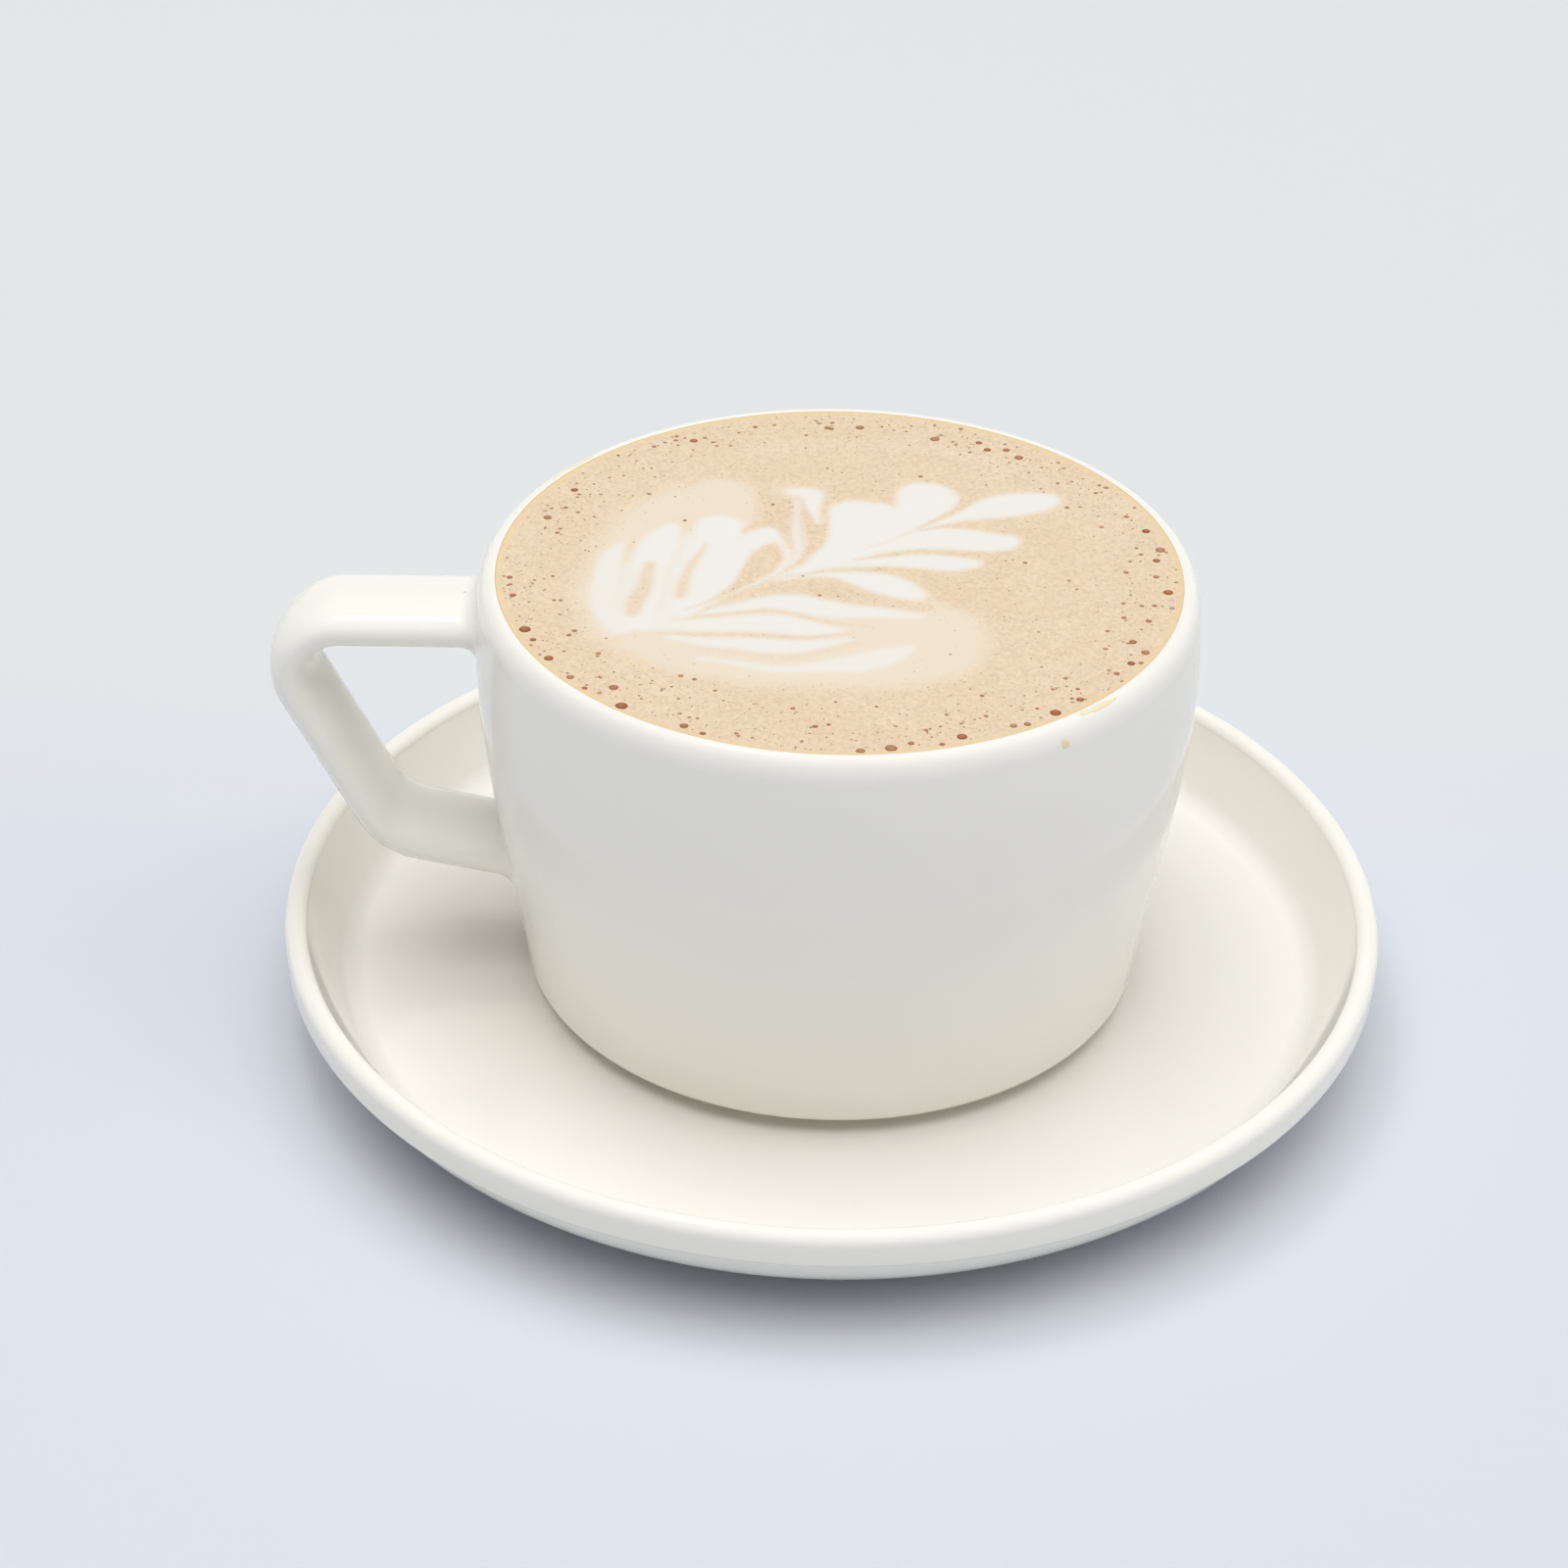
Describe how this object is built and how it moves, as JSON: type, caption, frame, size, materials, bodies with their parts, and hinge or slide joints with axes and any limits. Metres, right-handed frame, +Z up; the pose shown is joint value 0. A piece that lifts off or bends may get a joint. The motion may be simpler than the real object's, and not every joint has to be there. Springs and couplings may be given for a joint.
{
  "type": "latte",
  "caption": "Latte with poured leaf art, filled to the brim of a wide glazed cup with an angular handle, on its raised-edge saucer.",
  "frame": {"origin": "centre of the whole object at the height of the table, which lies on the shared axis of cup and saucer to within a millimetre", "axes": "+Z up out of the cup, +X away from the handle, +Y to the back"},
  "size_m": [0.1505, 0.15, 0.067],
  "materials": {
    "glaze": "glossy cream-white glaze over fired clay",
    "latte": "satin milk foam with coffee, open bubbles near the wall"
  },
  "bodies": {
    "root": {"saucer": "glaze", "cup": "glaze", "latte": "latte"}
  },
  "joints": []
}
